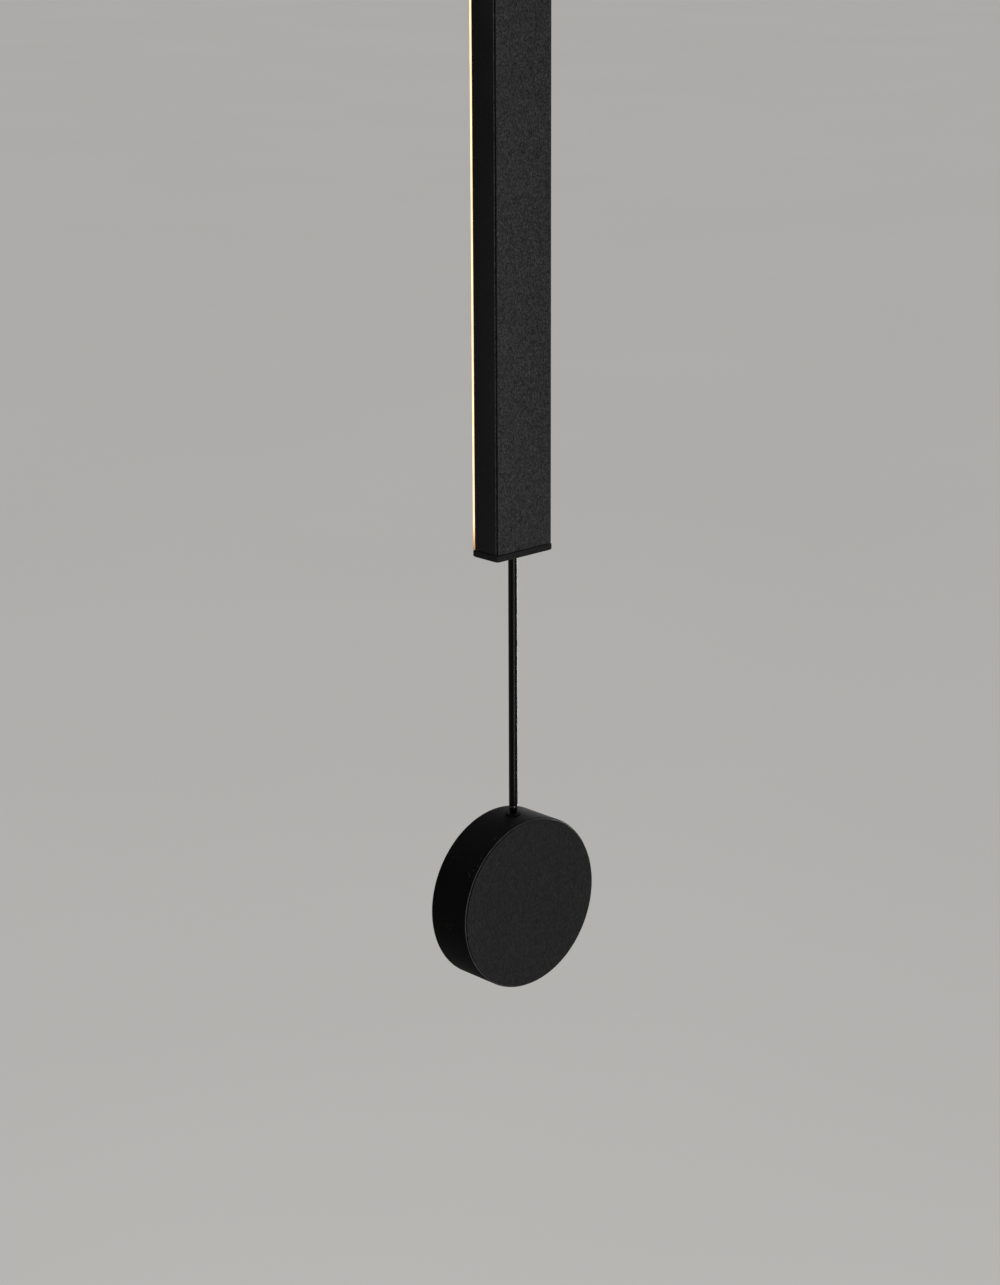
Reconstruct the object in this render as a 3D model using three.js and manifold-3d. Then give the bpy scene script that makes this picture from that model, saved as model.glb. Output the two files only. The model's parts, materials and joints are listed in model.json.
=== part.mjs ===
// A pendulum wall light. A slim rectangular bar stands off the wall on a small box that holds its LED driver.
// A strip of opal plastic along the bar's back washes the wall, and a round bob swings on a thin rod below.
// Millimetres, +Z up, -Y towards the room. The origin is on the wall, in the middle of the wall plate's back.
import * as THREE from "three";
import { mergeVertices } from "three/addons/utils/BufferGeometryUtils.js";
import Module from "manifold-3d";

const wasm = await Module();
wasm.setup();

// ---------------------------------------------------------------- driving dimensions
const OVERALL_HEIGHT = 800;
const BAR_WIDTH = 41.5;
const BAR_DEPTH = 19.5;
const BAR_TOP = 120; // above the origin
const STAND_OFF = 28; // wall to the back of the bar
const ROD_DIAMETER = 5;
const ROD_EXPOSED = 153; // bar to bob
const BOB_DIAMETER = 100;
const BOB_THICKNESS = 29;
const SWING_LIMIT = 8; // degrees, each way

const GAP = 0.3; // between pieces that touch
const WALL = 1.2; // sheet and extrusion walls
const STEP = 1.4; // how far the front plates of the bar and the bob stand proud
const STEP_WIDTH = 0.7; // how much narrower they are on each side
const SEAM = 0.4; // between the bar's profile and its end caps

// ---------------------------------------------------------------- worked out from them
const BAR_LENGTH = OVERALL_HEIGHT - ROD_EXPOSED - BOB_DIAMETER;
const BAR_BOTTOM = BAR_TOP - BAR_LENGTH;
const BAR_Y = -STAND_OFF - BAR_DEPTH / 2;
const FRONT = -BAR_DEPTH / 2; // in the bar's own frame
const BACK = BAR_DEPTH / 2;
const HALF_WIDTH = BAR_WIDTH / 2;
const INNER_HALF = HALF_WIDTH - WALL;

const CAP = 3.8; // end caps
const CAP_CHAMFER = 0.8;
const PROFILE_START = CAP + SEAM;
const PROFILE_END = BAR_LENGTH - CAP - SEAM;
const COVER = STEP - GAP; // the front plates' thickness
const LIP_FRONT = FRONT + STEP;
const DIFFUSER = 1.7;
const DIFFUSER_FRONT = BACK - DIFFUSER;
const METAL_BACK = DIFFUSER_FRONT - GAP;
const WEB_FRONT = FRONT + 8.5;
const WEB_BACK = WEB_FRONT + 1.5;
const COVER_LEDGE = { front: LIP_FRONT + 0.6, thickness: 1, reach: 2 };
const DIFFUSER_RIB = { front: METAL_BACK - 3, thickness: 1, reach: 0.8 };
const SNAP_LEG = { thickness: 1, barb: 0.9 };

// Screw sizes: radii of head and shank, height of the head, and length over all.
const CAP_SCREW = { head: 2.9, headHeight: 1.7, shank: 1.3, length: 12, countersunk: true };
const TONGUE_SCREW = { head: 2.7, headHeight: 1.6, shank: 1.4, length: 6.2 };
const BACK_SCREW = { head: 3.1, headHeight: 1.5, shank: 1.4, length: 8.5, countersunk: true };
const MOUNT_SCREW = { head: 3.6, headHeight: 2.4, shank: 1.95, length: 18.5 };
const DRIVER_SCREW = { head: 2.5, headHeight: 1.4, shank: 1.3, length: 5 };
const TERMINAL_SCREW = { head: 1.8, headHeight: 1.1, shank: 1, length: 4.6 };
const CANOPY_SCREW = { head: 3.2, headHeight: 1.4, shank: 1.5, length: 7 };
const boreFor = ({ shank }) => shank + GAP;
const SCREW_HEAD_INSET = 0.1; // how far a countersunk head lies below its surface
const DRIVE_SLOT = 0.7; // width of the slot in a screw's head

const BOSS = { x: 12.5, y: FRONT + 5.9, radius: 2.6 };

const PIVOT_HEIGHT = 15; // above the underside of the bar
const PIN = { radius: 1.5, play: 0.1, head: 2.6, headThickness: 1.1, groove: 1.1, tail: 0.6 };
const CLIP = { radius: 3, bore: 1.25, thickness: 0.5, halfMouth: 0.95, play: 0.1 };
const EYE = { radius: 4.5, stud: 1.4, studEnd: -12 };
const FORK = { halfWidth: 9, halfDepth: 5.15, halfSlot: 2.8, bottom: 6, top: 26, ceiling: 21.5 };
const TONGUE = { top: 42, thickness: 3, screws: [30.5, 37.5] };

const BOARD = { halfWidth: 13, thickness: 1.6, start: 30, end: BAR_LENGTH - 12 };
const LED = { width: 2.8, height: 3.5, thickness: 0.7, pitch: 16.7 };

const CANOPY = { halfWidth: 17, halfHeight: 86 };
const PLATE = { thickness: 1.5, halfWidth: 15, halfHeight: 84.4, tab: 12 };
const MOUNT_SCREWS = [-66, 66]; // heights above the origin
const SPACER_RADIUS = 4;
const NUT = { acrossFlats: 7, thickness: 3.2 };
const WALL_SLOT = { halfLength: 6, halfWidth: 2.5, heights: [-30, 30] };
const LEAD_HOLE_Z = -77;
const LEAD_CLEARANCE = 6.2; // radius of the diffuser's hole for the grommet's inner lip
const LEAD_X = 1.5;
const CABLE_HOLE_Z = 66;
const CANOPY_FRONT = -STAND_OFF + GAP;
const CANOPY_INNER = CANOPY_FRONT + WALL;
const CANOPY_SCREW_Y = -8;

const ROD_RADIUS = ROD_DIAMETER / 2;
const BOB_RADIUS = BOB_DIAMETER / 2;
const BOB_HALF = BOB_THICKNESS / 2;
const BOB_FRONT = -BOB_HALF;
const BACK_PLATE = 1.6;
const BACK_PLATE_SEAM = 0.5; // the fine line round the bob's inset back plate
const BOB_TOP = -PIVOT_HEIGHT - ROD_EXPOSED; // in the pendulum's own frame, from the pivot
const BOB_CENTRE = BOB_TOP - BOB_RADIUS;
const TIP_HEIGHT = 6;
const STUD = { radius: 1.5, length: 22, neck: 1.2, neckHeight: 6 };
const ROD_BORE = { radius: 1.5, depth: 7 };
const RIM_HOLE = 3.5; // radius of the hole in the rim that the stud's bush lines
const CORE = {
  radius: 24,
  front: BOB_FRONT + COVER + GAP,
  back: BOB_HALF - BACK_PLATE - GAP,
  neckHalf: 7,
  neckTop: 48,
};
const BACK_SCREW_CIRCLE = 16;
const BOB_SIDES = 48;

// ---------------------------------------------------------------- materials
function finish(color, roughness, metalness) {
  return new THREE.MeshStandardMaterial({ color, roughness, metalness });
}
const blackCoat = finish(0x17171a, 0.7, 0.2);
const blackCover = finish(0x202022, 0.75, 0.15);
const satinBlack = finish(0x0c0c0d, 0.35, 0.6);
const opal = new THREE.MeshStandardMaterial({
  color: 0xfff3dc,
  roughness: 0.5,
  emissive: 0xffc780,
  emissiveIntensity: 1,
});
const boardWhite = finish(0xe8e8e4, 0.5, 0);
const steel = finish(0xb4b6b8, 0.35, 0.9);
const brass = finish(0xb08d4a, 0.35, 0.9);
const iron = finish(0x3c3c3e, 0.6, 0.8);
const nylon = finish(0x1a1a1a, 0.6, 0);
const rubber = finish(0x141414, 0.85, 0);
const driverCase = finish(0xdcdcd8, 0.55, 0);
const redWire = finish(0xa01c1c, 0.5, 0);
const blackWire = finish(0x111111, 0.5, 0);
const brownWire = finish(0x5a3218, 0.5, 0);
const blueWire = finish(0x1c4a9c, 0.5, 0);

// ---------------------------------------------------------------- solids
// A closed geometry as a solid whose faces point out.
function solid(geometry) {
  const bare = geometry.clone();
  bare.deleteAttribute("normal");
  bare.deleteAttribute("uv");
  const merged = mergeVertices(bare, 1e-4);
  const index = merged.index.array;
  const kept = [];
  for (let i = 0; i < index.length; i += 3) {
    const [a, b, c] = index.slice(i, i + 3);
    if (a !== b && b !== c && c !== a) kept.push(a, b, c);
  }
  const build = (triangles) =>
    new wasm.Manifold(
      new wasm.Mesh({
        numProp: 3,
        vertProperties: new Float32Array(merged.attributes.position.array),
        triVerts: new Uint32Array(triangles),
      }),
    );
  const made = build(kept);
  return made.volume() > 0 ? made : build(kept.reverse());
}

function geometryOf(made) {
  const mesh = made.getMesh();
  const geometry = new THREE.BufferGeometry();
  geometry.setAttribute("position", new THREE.BufferAttribute(new Float32Array(mesh.vertProperties), 3));
  geometry.setIndex(new THREE.BufferAttribute(new Uint32Array(mesh.triVerts), 1));
  geometry.computeVertexNormals();
  return geometry;
}

function block([x0, x1], [y0, y1], [z0, z1]) {
  const geometry = new THREE.BoxGeometry(x1 - x0, y1 - y0, z1 - z0);
  geometry.translate((x0 + x1) / 2, (y0 + y1) / 2, (z0 + z1) / 2);
  return solid(geometry);
}

// A solid of revolution. The profile is [radius, height] pairs, and the axis is "x", "y" or "z".
function turned(profile, axis = "z", sides = 20) {
  const points = profile.map(([r, h]) => new THREE.Vector2(r, h));
  const geometry = new THREE.LatheGeometry(points, sides);
  if (axis === "z") geometry.rotateX(Math.PI / 2);
  if (axis === "x") geometry.rotateZ(-Math.PI / 2);
  return solid(geometry);
}

function cylinder(axis, radius, from, to, at = [0, 0], sides = 20) {
  const profile = [[0, from], [radius, from], [radius, to], [0, to]];
  const [p, q] = at;
  const offset = { x: [0, p, q], y: [p, 0, q], z: [p, q, 0] }[axis];
  return turned(profile, axis, sides).translate(offset);
}

// A prism with round ends, along Z. Its long side runs along X.
function slotted(halfLength, halfWidth, from, to, segments = 8) {
  const reach = halfLength - halfWidth;
  const outline = new THREE.Shape();
  outline.absarc(reach, 0, halfWidth, -Math.PI / 2, Math.PI / 2, false);
  outline.absarc(-reach, 0, halfWidth, Math.PI / 2, (3 * Math.PI) / 2, false);
  outline.closePath();
  const geometry = new THREE.ExtrudeGeometry(outline, {
    depth: to - from,
    bevelEnabled: false,
    curveSegments: segments,
  });
  return solid(geometry.translate(0, 0, from));
}

function joined(solids) {
  return solids.reduce((all, next) => all.add(next));
}

function cut(body, tools) {
  return tools.reduce((left, tool) => left.subtract(tool), body);
}

// The two copies of a solid on each side of the YZ plane.
function bothSides(made) {
  return joined([made, made.mirror([1, 0, 0])]);
}

function place(group, name, shape, material, position = [0, 0, 0], rotation = [0, 0, 0]) {
  const mesh = new THREE.Mesh(shape.isBufferGeometry ? shape : geometryOf(shape), material);
  mesh.name = name;
  mesh.position.set(...position);
  mesh.rotation.set(...rotation);
  group.add(mesh);
  return mesh;
}

// A screw that points along +Z from its head's outer face at the origin.
function screw({ head, headHeight, shank, length, countersunk = false }) {
  const under = countersunk ? shank : head;
  const profile = [
    [0, 0],
    [head, 0],
    [under, headHeight],
    [shank, headHeight],
    [shank, length - shank * 0.6],
    [shank * 0.4, length],
    [0, length],
  ];
  const driveWidth = [-DRIVE_SLOT / 2, DRIVE_SLOT / 2];
  const driveSlot = block([-head * 0.7, head * 0.7], driveWidth, [-1, headHeight * 0.55]);
  return cut(turned(profile, "z", 12), [driveSlot]);
}

// The countersink for such a screw, from just above a surface at z = 0.
function countersink(size) {
  const above = 0.5;
  const deep = size.headHeight + SCREW_HEAD_INSET + 0.1;
  const wide = size.head + above + GAP + 0.2;
  return turned([[0, -above], [wide, -above], [boreFor(size), deep], [0, deep]]);
}

// ---------------------------------------------------------------- the bar
function barProfile() {
  const z = [PROFILE_START, PROFILE_END];
  const outer = block([-HALF_WIDTH, HALF_WIDTH], [LIP_FRONT, METAL_BACK], z);
  const beyond = [PROFILE_START - 1, PROFILE_END + 1];
  const frontChannel = block([-INNER_HALF, INNER_HALF], [FRONT - 1, WEB_FRONT], beyond);
  const rearChannel = block([-INNER_HALF, INNER_HALF], [WEB_BACK, METAL_BACK + 1], beyond);
  const ridge = ({ front, thickness, reach }) =>
    block([INNER_HALF - reach, INNER_HALF + 0.5], [front, front + thickness], z);
  const boss = cylinder("z", BOSS.radius, ...z, [BOSS.x, BOSS.y], 16);
  const bossFoot = block([BOSS.x - BOSS.radius, BOSS.x + BOSS.radius], [BOSS.y, WEB_FRONT + 0.5], z);
  const bossBore = cylinder("z", boreFor(CAP_SCREW), ...beyond, [BOSS.x, BOSS.y], 16);
  const body = joined([
    cut(outer, [frontChannel, rearChannel]),
    bothSides(joined([ridge(COVER_LEDGE), ridge(DIFFUSER_RIB), boss, bossFoot])),
  ]);
  const forkNotch = block(
    [-FORK.halfWidth - 1.2, FORK.halfWidth + 1.2],
    [WEB_FRONT - 1, WEB_BACK + 1],
    [PROFILE_START - 1, FORK.top + 0.6],
  );
  const screwHoles = MOUNT_SCREWS.map((height) =>
    cylinder("y", boreFor(MOUNT_SCREW), WEB_FRONT - 1, WEB_BACK + 1, [0, height - BAR_BOTTOM], 16),
  );
  const tongueHoles = TONGUE.screws.map((height) =>
    cylinder("y", boreFor(TONGUE_SCREW), WEB_FRONT - 1, WEB_BACK + 1, [0, height], 16),
  );
  return cut(body, [bothSides(bossBore), forkNotch, ...screwHoles, ...tongueHoles]);
}

// A pair of snap legs from y = root past the ridge that they catch on, which lies towards y = tip.
function snapLegs(ridge, root, direction, z) {
  const outer = INNER_HALF - ridge.reach - GAP;
  const ridgeFar = direction > 0 ? ridge.front + ridge.thickness : ridge.front;
  const barbStart = ridgeFar + direction * GAP;
  const barb = [barbStart, barbStart + direction * SNAP_LEG.barb].sort((a, b) => a - b);
  const reach = [root, direction > 0 ? barb[1] : barb[0]].sort((a, b) => a - b);
  const leg = block([outer - SNAP_LEG.thickness, outer], reach, z);
  const hook = block([outer - 0.5, outer + GAP + 0.4], barb, z);
  return bothSides(joined([leg, hook]));
}

function frontCover() {
  const z = [PROFILE_START, PROFILE_END];
  const half = HALF_WIDTH - STEP_WIDTH;
  const plate = block([-half, half], [FRONT, FRONT + COVER], z);
  return joined([plate, snapLegs(COVER_LEDGE, FRONT + COVER - 0.5, 1, z)]);
}

function rearDiffuser() {
  const z = [PROFILE_START, PROFILE_END];
  const plate = block([-HALF_WIDTH, HALF_WIDTH], [DIFFUSER_FRONT, BACK], z);
  const hole = (radius, height) =>
    cylinder("y", radius, DIFFUSER_FRONT - 1, BACK + 1, [0, height - BAR_BOTTOM]);
  const spacerHoles = MOUNT_SCREWS.map((height) => hole(SPACER_RADIUS + 0.5, height));
  const holes = [...spacerHoles, hole(LEAD_CLEARANCE, LEAD_HOLE_Z)];
  return cut(joined([plate, snapLegs(DIFFUSER_RIB, DIFFUSER_FRONT + 0.5, -1, z)]), holes);
}

// The board and its row of LEDs, left out where a spacer or the leads come through.
function ledBoard() {
  const front = WEB_BACK + GAP;
  const back = front + BOARD.thickness;
  const plate = block([-BOARD.halfWidth, BOARD.halfWidth], [front, back], [BOARD.start, BOARD.end]);
  const busy = [...MOUNT_SCREWS, LEAD_HOLE_Z].map((height) => height - BAR_BOTTOM);
  const lights = [];
  for (let z = BOARD.start + 6; z < BOARD.end - 4; z += LED.pitch) {
    if (busy.some((height) => Math.abs(height - z) < 8)) continue;
    lights.push(
      block(
        [-LED.width / 2, LED.width / 2],
        [back - 0.2, back + LED.thickness],
        [z - LED.height / 2, z + LED.height / 2],
      ),
    );
  }
  const holes = MOUNT_SCREWS.map((height) =>
    cylinder("y", SPACER_RADIUS + 0.5, front - 1, back + 1, [0, height - BAR_BOTTOM]),
  );
  return cut(joined([plate, ...lights]), holes);
}

// An end cap with a chamfered outer edge and two countersunk screw holes, its outer face at z = 0.
function endCap() {
  const slab = block([-HALF_WIDTH, HALF_WIDTH], [FRONT, BACK], [CAP_CHAMFER, CAP]);
  const edge = new THREE.BoxGeometry(BAR_WIDTH, BAR_DEPTH, CAP_CHAMFER);
  const position = edge.attributes.position;
  for (let i = 0; i < position.count; i++) {
    if (position.getZ(i) > 0) continue;
    position.setX(i, position.getX(i) - Math.sign(position.getX(i)) * CAP_CHAMFER);
    position.setY(i, position.getY(i) - Math.sign(position.getY(i)) * CAP_CHAMFER);
  }
  edge.translate(0, 0, CAP_CHAMFER / 2);
  const bore = cylinder("z", boreFor(CAP_SCREW), -1, CAP + 1, [BOSS.x, BOSS.y], 16);
  const sink = countersink(CAP_SCREW).translate([BOSS.x, BOSS.y, 0]);
  return cut(joined([slab, solid(edge)]), [bothSides(joined([bore, sink]))]);
}

function bottomEndCap() {
  return cut(endCap(), [slotted(GUIDE.halfLength + GAP, GUIDE.halfWidth + GAP, -1, CAP + 1)]);
}

// The slotted bush that the rod swings in. It stops the rod just past the swing's limits.
const reachAtBase = (PIVOT_HEIGHT * Math.tan(THREE.MathUtils.degToRad(SWING_LIMIT)) + ROD_RADIUS) * 1.01;
const GUIDE = { halfLength: 8.5, halfWidth: 4.5, slotHalf: reachAtBase + 0.3, slotWidth: ROD_RADIUS + 0.5 };
function guideBush() {
  const body = slotted(GUIDE.halfLength, GUIDE.halfWidth, 0.2, CAP + GAP + 0.2);
  const flange = slotted(GUIDE.halfLength + 1.1, GUIDE.halfWidth + 0.9, CAP + GAP, CAP + GAP + 1);
  return cut(joined([body, flange]), [slotted(GUIDE.slotHalf, GUIDE.slotWidth, -1, CAP + 3)]);
}

// The fork that the pendulum hangs in, with a tongue that is screwed to the web.
function pivotBracket() {
  const tongueBack = WEB_FRONT - GAP;
  const tongueFront = tongueBack - TONGUE.thickness;
  const body = block(
    [-FORK.halfWidth, FORK.halfWidth],
    [-FORK.halfDepth, FORK.halfDepth],
    [FORK.bottom, FORK.top],
  );
  const tongue = block(
    [-FORK.halfWidth, FORK.halfWidth],
    [tongueFront, tongueBack],
    [FORK.top - 1, TONGUE.top],
  );
  const across = [-FORK.halfWidth - 1, FORK.halfWidth + 1];
  const through = [-FORK.halfDepth - 1, FORK.halfDepth + 1];
  const slot = block(across, [-FORK.halfSlot, FORK.halfSlot], [0, FORK.ceiling]);
  const pinHole = cylinder("y", PIN.radius + PIN.play, ...through, [0, PIVOT_HEIGHT]);
  const screwHoles = TONGUE.screws.map((height) =>
    cylinder("y", boreFor(TONGUE_SCREW), tongueFront - 1, tongueBack + 1, [0, height], 16),
  );
  return cut(joined([body, tongue]), [slot, pinHole, ...screwHoles]);
}

// The pin lies along Y, with its head towards the room and a groove for its clip at the back.
const CLIP_Y = FORK.halfDepth + 0.5;
function pivotPin() {
  const headBack = -FORK.halfDepth - GAP;
  const headFront = headBack - PIN.headThickness;
  const groove = [CLIP_Y - CLIP.play, CLIP_Y + CLIP.thickness + CLIP.play];
  const profile = [
    [0, headFront],
    [PIN.head, headFront],
    [PIN.head, headBack],
    [PIN.radius, headBack],
    [PIN.radius, groove[0]],
    [PIN.groove, groove[0]],
    [PIN.groove, groove[1]],
    [PIN.radius, groove[1]],
    [PIN.radius, groove[1] + PIN.tail],
    [0, groove[1] + PIN.tail],
  ];
  return turned(profile, "y");
}

function pinClip() {
  const ring = cylinder("y", CLIP.radius, CLIP_Y, CLIP_Y + CLIP.thickness);
  const hole = cylinder("y", CLIP.bore, CLIP_Y - 1, CLIP_Y + 1);
  const mouth = block([-CLIP.halfMouth, CLIP.halfMouth], [CLIP_Y - 1, CLIP_Y + 1], [-CLIP.radius - 1, 0]);
  return cut(ring, [hole, mouth]);
}

function addBar(group) {
  place(group, "bar_profile", barProfile(), blackCoat);
  place(group, "front_cover", frontCover(), blackCover);
  place(group, "rear_diffuser", rearDiffuser(), opal);
  place(group, "led_board", ledBoard(), boardWhite);
  place(group, "bottom_end_cap", bottomEndCap(), blackCoat);
  place(group, "top_end_cap", endCap().mirror([0, 0, 1]), blackCoat, [0, 0, BAR_LENGTH]);
  place(group, "rod_guide_bush", guideBush(), nylon);

  const capScrew = screw(CAP_SCREW);
  const screwHeights = [SCREW_HEAD_INSET, BAR_LENGTH - SCREW_HEAD_INSET];
  for (const [side, x] of [["left", -BOSS.x], ["right", BOSS.x]]) {
    place(group, `bottom_cap_screw_${side}`, capScrew, steel, [x, BOSS.y, screwHeights[0]]);
    place(group, `top_cap_screw_${side}`, capScrew, steel, [x, BOSS.y, screwHeights[1]], [Math.PI, 0, 0]);
  }

  place(group, "pivot_bracket", pivotBracket(), steel);
  place(group, "pivot_pin", pivotPin(), steel, [0, 0, PIVOT_HEIGHT]);
  place(group, "pivot_pin_clip", pinClip(), steel, [0, 0, PIVOT_HEIGHT]);
  const tongueFront = WEB_FRONT - GAP - TONGUE.thickness;
  const tongueHead = tongueFront - GAP - TONGUE_SCREW.headHeight;
  TONGUE.screws.forEach((height, i) => {
    const name = `pivot_bracket_screw_${["lower", "upper"][i]}`;
    place(group, name, screw(TONGUE_SCREW), steel, [0, tongueHead, height], [-Math.PI / 2, 0, 0]);
  });
}

// ---------------------------------------------------------------- the pendulum, from its pivot down
function rodEye() {
  const eye = cylinder("y", EYE.radius, -ROD_RADIUS, ROD_RADIUS);
  const stud = cylinder("z", EYE.stud, EYE.studEnd, -EYE.radius + 1.5);
  const bore = cylinder("y", PIN.radius + PIN.play, -ROD_RADIUS - 1, ROD_RADIUS + 1);
  return cut(joined([eye, stud]), [bore]);
}

const ROD_TOP = -EYE.radius - 0.5;
const ROD_BASE = BOB_TOP + TIP_HEIGHT;
function pendulumRod() {
  const shaft = cylinder("z", ROD_RADIUS, ROD_BASE, ROD_TOP);
  const topBore = cylinder("z", EYE.stud + GAP, EYE.studEnd - 1, ROD_TOP + 1);
  const baseBore = cylinder("z", ROD_BORE.radius, ROD_BASE - 1, ROD_BASE + ROD_BORE.depth);
  return cut(shaft, [topBore, baseBore]);
}

// The tapered tip between the rod and the bob, with a stud at each end.
function rodTip() {
  const top = ROD_BASE - GAP;
  const profile = [
    [0, BOB_TOP - STUD.length],
    [STUD.radius, BOB_TOP - STUD.length],
    [STUD.radius, BOB_TOP + 0.6],
    [ROD_RADIUS - 0.2, top - 0.8],
    [ROD_RADIUS, top - 0.6],
    [ROD_RADIUS, top],
    [STUD.neck, top],
    [STUD.neck, top + STUD.neckHeight],
    [0, top + STUD.neckHeight],
  ];
  return turned(profile);
}

// The rim is a turned drum with an inward flange that the face is bonded to, and a ledge for the back plate.
function bobRim() {
  const inner = BOB_RADIUS - WALL;
  const flange = inner - 2.8;
  const softened = 0.3;
  const front = BOB_FRONT + STEP;
  const ledge = BOB_HALF - BACK_PLATE - 0.4;
  const profile = [
    [flange, front],
    [BOB_RADIUS - softened, front],
    [BOB_RADIUS, front + softened],
    [BOB_RADIUS, BOB_HALF - softened],
    [BOB_RADIUS - softened, BOB_HALF],
    [inner, BOB_HALF],
    [inner, ledge],
    [flange, ledge],
    [flange, ledge - WALL],
    [inner, ledge - WALL],
    [inner, front + WALL],
    [flange, front + WALL],
    [flange, front],
  ];
  const drum = turned(profile, "y", BOB_SIDES);
  const entry = cylinder("z", RIM_HOLE, BOB_RADIUS - 6, BOB_RADIUS + 1);
  return cut(drum, [entry]).translate([0, 0, BOB_CENTRE]);
}

function bobFace() {
  return cylinder("y", BOB_RADIUS - STEP_WIDTH, BOB_FRONT, BOB_FRONT + COVER, [0, BOB_CENTRE], BOB_SIDES);
}

// The back plate's three screws stand on one circle, the first at the top.
const BACK_SCREW_PLACES = [0, 1, 2].map((i) => {
  const angle = Math.PI / 2 + (i * 2 * Math.PI) / 3;
  return [BACK_SCREW_CIRCLE * Math.cos(angle), BACK_SCREW_CIRCLE * Math.sin(angle)];
});

// A copy of a tool at each of those screws.
function onScrewCircle(tool) {
  return BACK_SCREW_PLACES.map(([x, z]) => tool.translate([x, 0, z]));
}

function bobBack() {
  const sink = countersink(BACK_SCREW).rotate([90, 0, 0]).translate([0, BOB_HALF, 0]);
  const bore = cylinder("y", boreFor(BACK_SCREW), 0, BOB_HALF + 1, [0, 0], 16);
  const radius = BOB_RADIUS - WALL - BACK_PLATE_SEAM;
  const plate = cylinder("y", radius, BOB_HALF - BACK_PLATE, BOB_HALF, [0, 0], BOB_SIDES);
  return cut(plate, onScrewCircle(joined([sink, bore]))).translate([0, 0, BOB_CENTRE]);
}

function bobCore() {
  const disc = cylinder("y", CORE.radius, CORE.front, CORE.back, [0, 0], 32);
  const neck = block([-CORE.neckHalf, CORE.neckHalf], [-CORE.neckHalf, CORE.neckHalf], [15, CORE.neckTop]);
  const studBore = cylinder("z", STUD.radius + GAP, BOB_RADIUS - STUD.length - 2, CORE.neckTop + 1);
  const tapped = cylinder("y", boreFor(BACK_SCREW), CORE.back - 9, CORE.back + 1, [0, 0], 16);
  return cut(joined([disc, neck]), [studBore, ...onScrewCircle(tapped)]).translate([0, 0, BOB_CENTRE]);
}

// The flanged bush that lines the hole in the rim.
function bobBush() {
  const seat = BOB_TOP + GAP;
  const foot = BOB_TOP - 1.6;
  const bore = STUD.radius + GAP;
  const sleeve = RIM_HOLE - GAP;
  const profile = [
    [bore, foot],
    [sleeve, foot],
    [sleeve, seat],
    [sleeve + 1.1, seat],
    [sleeve + 0.9, seat + 0.5],
    [bore + 0.3, seat + 0.5],
    [bore, seat + 0.2],
    [bore, foot],
  ];
  return turned(profile);
}

function addPendulum(group) {
  place(group, "rod_eye", rodEye(), brass);
  place(group, "pendulum_rod", pendulumRod(), satinBlack);
  place(group, "rod_tip", rodTip(), satinBlack);
  place(group, "bob_rim", bobRim(), blackCoat);
  place(group, "bob_face", bobFace(), blackCover);
  place(group, "bob_back", bobBack(), blackCoat);
  place(group, "bob_core", bobCore(), iron);
  place(group, "bob_bush", bobBush(), satinBlack);
  const headFace = BOB_HALF - SCREW_HEAD_INSET;
  BACK_SCREW_PLACES.forEach(([x, z], i) => {
    const position = [x, headFace, BOB_CENTRE + z];
    place(group, `bob_back_screw_${i + 1}`, screw(BACK_SCREW), steel, position, [Math.PI / 2, 0, 0]);
  });
}

// ---------------------------------------------------------------- the wall mount and the driver
// A plate with a tab bent forward at each end, two slots for wall screws and a hole for the supply cable.
function wallPlate() {
  const { thickness, halfWidth, halfHeight, tab } = PLATE;
  const sheet = block([-halfWidth, halfWidth], [-thickness, 0], [-halfHeight, halfHeight]);
  const lip = block([-halfWidth, halfWidth], [-thickness - tab, 0], [halfHeight - thickness, halfHeight]);
  const lips = joined([lip, lip.mirror([0, 0, 1])]);
  const slot = slotted(WALL_SLOT.halfLength, WALL_SLOT.halfWidth, -5, 5).rotate([90, 0, 0]);
  const slots = WALL_SLOT.heights.map((height) => slot.translate([0, 0, height]));
  const cableHole = cylinder("y", CABLE_BUSH.outer + GAP, -5, 5, [0, CABLE_HOLE_Z], 24);
  const ends = [-halfHeight - 1, halfHeight + 1];
  const tapped = cylinder("z", boreFor(CANOPY_SCREW), ...ends, [0, CANOPY_SCREW_Y], 16);
  return cut(joined([sheet, lips]), [...slots, cableHole, tapped]);
}

function canopy() {
  const { halfWidth, halfHeight } = CANOPY;
  const shell = block([-halfWidth, halfWidth], [CANOPY_FRONT, -GAP], [-halfHeight, halfHeight]);
  const inside = block(
    [-halfWidth + WALL, halfWidth - WALL],
    [CANOPY_INNER, 1],
    [-halfHeight + WALL, halfHeight - WALL],
  );
  const hole = (radius, height) => cylinder("y", radius, CANOPY_FRONT - 1, CANOPY_INNER + 1, [0, height], 16);
  const holes = [
    ...MOUNT_SCREWS.map((height) => hole(boreFor(MOUNT_SCREW), height)),
    ...driverScrewHeights().map((height) => hole(boreFor(DRIVER_SCREW), height)),
    hole(boreFor(TERMINAL_SCREW), TERMINAL_EAR.screwZ),
    hole(LEAD_GROMMET.hole, LEAD_HOLE_Z),
  ];
  const ends = [-halfHeight - 1, halfHeight + 1];
  const endHoles = cylinder("z", boreFor(CANOPY_SCREW), ...ends, [0, CANOPY_SCREW_Y], 16);
  return cut(shell, [inside, ...holes, endHoles]);
}

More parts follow.
